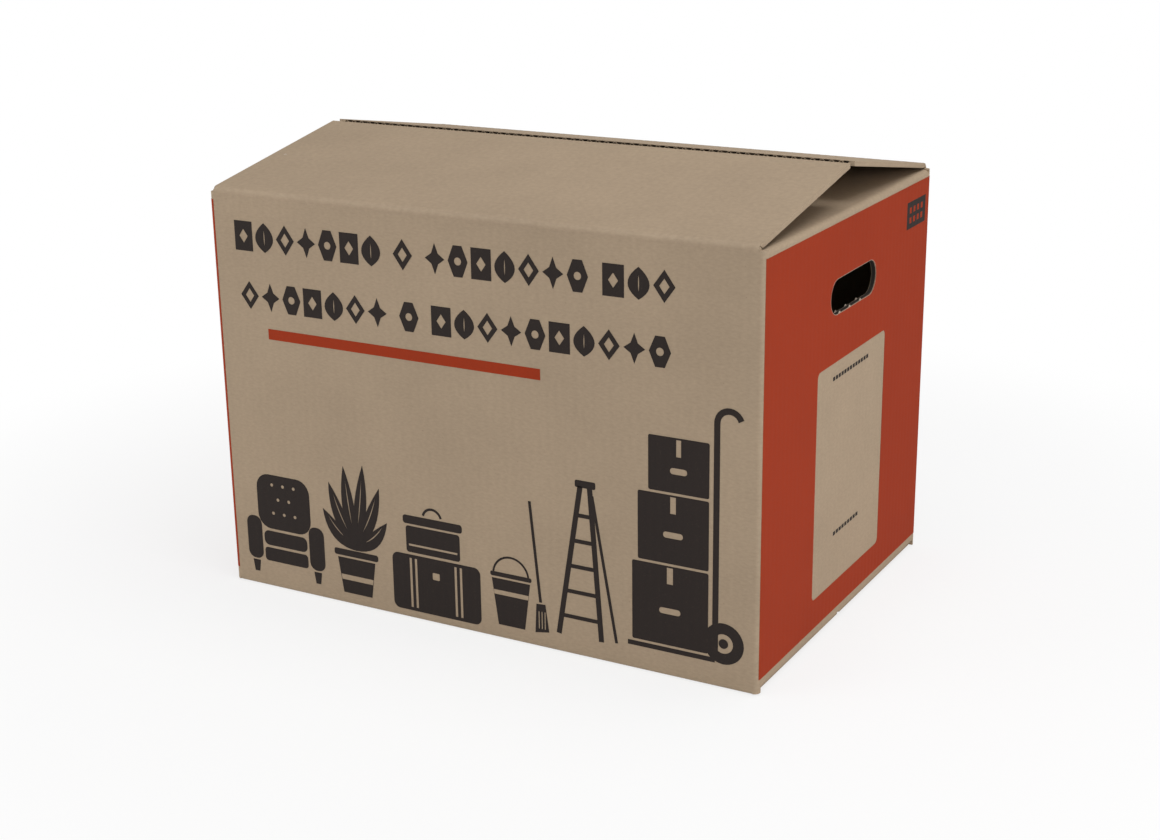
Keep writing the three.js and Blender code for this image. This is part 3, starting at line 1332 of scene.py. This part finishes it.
@dataclass(frozen=True)
class HandTruck(Drawing):
    """An upright sack truck with three cartons on its nose plate."""

    wheel: float = 17
    rim: float = 8
    hub: float = 4
    tube: float = 5
    nose: float = 4
    rail_inset: float = 24
    grip: float = 10
    cartons: tuple[tuple[float, float, float], ...] = ((4, 6, 72), (9, 74, 130), (18, 132, 176))

    @staticmethod
    def _carton(left: float, low: float, right: float, high: float) -> Plate:
        """Draws a carton with a bare strip of tape and a hand hole.

        Args:
            left: The left side.
            low: The lower side.
            right: The right side.
            high: The upper side.

        Returns:
            The carton.
        """
        width, middle = right - left, (low + high) / 2
        tape = bar(left + width * 0.46, high - 15, left + width * 0.54, high - 1.5)
        hole = rounded_bar(left + width * 0.36, middle - 7, left + width * 0.64, middle - 2, 2.4)
        return Plate(rounded_bar(left, low, right, high, 1.5), [tape[::-1], hole[::-1]])

    def plates(self) -> list[Plate]:
        """Draws the cartons, the frame, the grip and the wheel.

        Returns:
            The parts.
        """
        left, base, right = self.left, self.base, self.left + self.width
        axle = (right - self.wheel, base + self.wheel)
        rail, top = right - self.rail_inset, base + self.height - 12
        made = [
            Plate(bar(left, base, rail, base + self.nose)),
            Plate(ribbon([(rail, base + 6), (rail, top)], self.tube)),
            Plate(ribbon(arc((rail + self.grip, top - 1), self.grip, 180, 20), self.tube)),
            Plate(disc(axle, self.wheel, 40), [disc(axle, self.rim, 24)[::-1]]),
            Plate(disc(axle, self.hub, 16)),
        ]
        boxes = [self._carton(left + a, base + low, rail - 6, base + high) for a, low, high in self.cartons]
        return made + boxes


@dataclass
class FrontPrint:
    """The dark print of the front wall."""

    sizes: BoxSizes
    finishes: Finishes

    def build(self) -> None:
        """Prints the rows and the household shapes."""
        origin = Vector((-self.sizes.half_length, -self.sizes.half_depth, 0))
        panel = Panel(origin, Vector((1, 0, 0)), Vector((0, 0, 1)))
        drawings = {
            "front_frieze_upper": FriezeRow(24.5, 299.5, 25, 405, (7, 1, 7, 3)),
            "front_frieze_lower": FriezeRow(27, 250, 24, 399, (7, 1, 10), first=2),
            "front_armchair": Armchair(16, 13, 82, 92),
            "front_plant": PottedPlant(98, 11, 66, 118),
            "front_luggage": Luggage(168, 8, 86, 88),
            "front_bucket_and_broom": BucketAndBroom(265, 13, 46, 112),
            "front_step_ladder": StepLadder(327, 17, 52, 128),
            "front_hand_truck": HandTruck(389, 21, 99, 206),
        }
        for name, drawing in drawings.items():
            fix(panel.print(name, drawing.plates(), self.finishes.dark()), Body.CARTON)


@dataclass
class EndPrint:
    """The dark print of both end walls: dashes in the bare window and a block with small squares."""

    sizes: BoxSizes
    finishes: Finishes
    dash_rows: tuple[tuple[float, float, float, int], ...] = ((136, 214, 213.5, 13), (146, 202, 80, 9))
    dash_height: float = 3.2
    dash_share: float = 0.74
    block: tuple[float, float, float, float] = (293, 303, 338, 326)
    bleed_turn: tuple[float, float] = (208, 267)
    bleed_span: tuple[float, float] = (13 * MM, 340 * MM)
    bleed_rise: float = 0.10 * MM
    bleed_film: float = 0.12 * MM

    def _dashes(self) -> list[Plate]:
        """Draws the two rows of dashes.

        Returns:
            The dashes.
        """
        made = []
        for left, right, low, count in self.dash_rows:
            step = (right - left) / count
            for i in range(count):
                x = left + i * step
                made.append(Plate(bar(x, low, x + step * self.dash_share, low + self.dash_height)))
        return made

    def _squares(self) -> Plate:
        """Draws the dark block with its two rows of bare squares.

        Returns:
            The block.
        """
        left, low, right, high = self.block
        step = (right - left) / 5
        holes = [
            bar(left + step * (i + 0.7), y, left + step * (i + 1.22), y + 5)[::-1]
            for y in (low + 4.5, low + 13)
            for i in range(4)
        ]
        return Plate(bar(left, low, right, high), holes)

    def _bleed(self) -> None:
        """Adds the left end's red where it runs on round the fold to the front."""
        radius = self.sizes.fold_radius
        centre = (radius - self.sizes.half_length, radius - self.sizes.half_depth)
        film = ribbon(arc(centre, radius + self.bleed_rise, *self.bleed_turn), self.bleed_film)
        mesh = bmesh.new()
        join_rings(mesh, [[mesh.verts.new((x, y, z)) for x, y in film] for z in self.bleed_span])
        fix(new_piece("left_end_bleed", mesh, self.finishes.red()), Body.CARTON)

    def build(self) -> None:
        """Prints both ends alike, and the strip that shows in front."""
        for end in End:
            side, name = end.value, end.name.lower()
            origin = Vector((side * self.sizes.half_length, -side * self.sizes.half_depth, 0))
            along, up = Vector((0, side, 0)), Vector((0, 0, 1))
            bare = Panel(origin, along, up, layer_step=0)
            over_red = Panel(origin, along, up, **OVER_INK)
            parts = ((bare, "window_dashes", self._dashes()), (over_red, "corner_block", [self._squares()]))
            for panel, part, plates in parts:
                piece = panel.print(f"{name}_{part}", plates, self.finishes.dark())
                fix(piece, Body.CARTON)
        self._bleed()


# The studio


@dataclass(frozen=True)
class SoftLamp:
    """A square soft lamp that faces the box."""

    name: str
    place: Place
    size: float
    power: float
    aim: float = 0.18

    def build(self) -> None:
        """Adds the lamp, out of the camera's sight."""
        data = bpy.data.lights.new(self.name, "AREA")
        data.shape = "SQUARE"
        data.size = self.size
        data.energy = self.power
        lamp = bpy.data.objects.new(self.name, data)
        lamp.location = self.place
        lamp.rotation_mode = "QUATERNION"
        toward = Vector((0, 0, self.aim)) - Vector(self.place)
        lamp.rotation_quaternion = toward.to_track_quat("-Z", "Y")
        lamp.visible_camera = False
        bpy.context.scene.collection.objects.link(lamp)


@dataclass(frozen=True)
class Studio:
    """A pale floor, soft lamps and a white surround."""

    floor_half: float = 6.0
    floor_colour: Colour = (0.93, 0.93, 0.93)
    fade_from: float = 0.30
    fade_to: float = 0.85
    least_white: float = 0.75
    surround_light: float = 0.375
    lamps: tuple[SoftLamp, ...] = (
        SoftLamp("key_lamp", (1.65, -0.45, 0.3), size=1.2, power=11.5, aim=0.1),
        SoftLamp("front_lamp", (-1.35, -1.45, 0.3), size=1.2, power=16, aim=0.1),
        SoftLamp("top_lamp", (0.5, -0.1, 2.1), size=1.6, power=22),
    )

    @staticmethod
    def _seen(graph: Graph) -> Value:
        """Marks the rays that show the surround itself.

        Args:
            graph: The graph that asks.

        Returns:
            1 for a ray from the camera, a gloss or a glass.
        """
        rays = ("Is Camera Ray", "Is Glossy Ray", "Is Transmission Ray")
        camera, gloss, glass = (graph.node("ShaderNodeLightPath", output=ray) for ray in rays)
        return camera.most(gloss).most(glass)

    def _floor(self) -> None:
        """Lays a plain floor that keeps the box's shadow and fades to white further out."""
        mesh = bmesh.new()
        bmesh.ops.create_grid(mesh, x_segments=1, y_segments=1, size=self.floor_half)
        material = bpy.data.materials.new("pale_floor")
        graph = Graph(material)
        x, y, _ = graph.point()
        away = graph.step(x * x + y * y, self.fade_from**2, self.fade_to**2)
        share = (self.least_white + (1 - self.least_white) * away) * self._seen(graph)
        paper = graph.node("ShaderNodeBsdfDiffuse", {}, {"Color": (*self.floor_colour, 1)})
        white = graph.node("ShaderNodeEmission", {}, {"Color": (1, 1, 1, 1), "Strength": 1})
        both = graph.node("ShaderNodeMixShader", {}, {0: share, 1: paper, 2: white})
        graph.node("ShaderNodeOutputMaterial", {}, {"Surface": both})
        new_piece("floor", mesh, material)

    def _surround(self) -> None:
        """Makes the world white where it is seen, and a gentler light on the box."""
        world = bpy.data.worlds.new("surround")
        bpy.context.scene.world = world
        graph = Graph(world)
        shown = {"Color": (1, 1, 1, 1), "Strength": 1}
        light = graph.node("ShaderNodeBackground", {}, {**shown, "Strength": self.surround_light})
        white = graph.node("ShaderNodeBackground", {}, shown)
        both = graph.node("ShaderNodeMixShader", {}, {0: self._seen(graph), 1: light, 2: white})
        graph.node("ShaderNodeOutputWorld", {}, {"Surface": both})

    def build(self) -> None:
        """Builds the floor, the surround and the lamps."""
        self._floor()
        self._surround()
        for lamp in self.lamps:
            lamp.build()
            log.info("hung %s", lamp.name)


@dataclass(frozen=True)
class PhotoCamera:
    """The photograph's viewpoint."""

    azimuth: float = math.radians(29.284)
    elevation: float = math.radians(18.096)
    roll: float = math.radians(0.742)
    distance: float = 1.6614
    target: Place = (0.0004, 0.0, 0.1335)
    focal_pixels: float = 1898.6
    image_width: float = 1160
    sensor: float = 36
    seen_from: float = 0.05
    seen_to: float = 50

    def build(self) -> None:
        """Adds the camera and makes it the scene's own."""
        flat = math.cos(self.elevation)
        ahead = (math.sin(self.azimuth) * flat, -math.cos(self.azimuth) * flat, math.sin(self.elevation))
        back = Vector(ahead)
        right = Vector((0, 0, 1)).cross(back).normalized()
        up = back.cross(right)
        cosine, sine = math.cos(self.roll), math.sin(self.roll)
        axes = (right * cosine - up * sine, right * sine + up * cosine, back)
        data = bpy.data.cameras.new("camera")
        data.sensor_width = self.sensor
        data.lens = self.focal_pixels / self.image_width * self.sensor
        data.clip_start, data.clip_end = self.seen_from, self.seen_to
        camera = bpy.data.objects.new("camera", data)
        place = Matrix.Translation(Vector(self.target) + back * self.distance)
        camera.matrix_world = place @ Matrix(axes).transposed().to_4x4()
        bpy.context.scene.collection.objects.link(camera)
        bpy.context.scene.camera = camera


def main() -> None:
    """Builds the box's dress and the studio, piece by piece."""
    logging.basicConfig(level=logging.INFO, format="%(name)s: %(message)s")
    bpy.context.scene.view_settings.view_transform = "Standard"
    sizes = BoxSizes.from_frame()
    finishes = Finishes(sizes)
    PhotoCamera().build()
    CartonBoard(finishes).build()
    FoldSkin(sizes, finishes, "front_fold_skin", side=-1, body=Body.FRONT_FLAP).build()
    FoldSkin(sizes, finishes, "back_fold_skin", side=1, body=Body.BACK_FLAP).build()
    CutEdges(sizes, finishes).build()
    FlapScuff(sizes, finishes).build()
    FrontPrint(sizes, finishes).build()
    EndPrint(sizes, finishes).build()
    Studio().build()


if __name__ == "__main__":
    main()
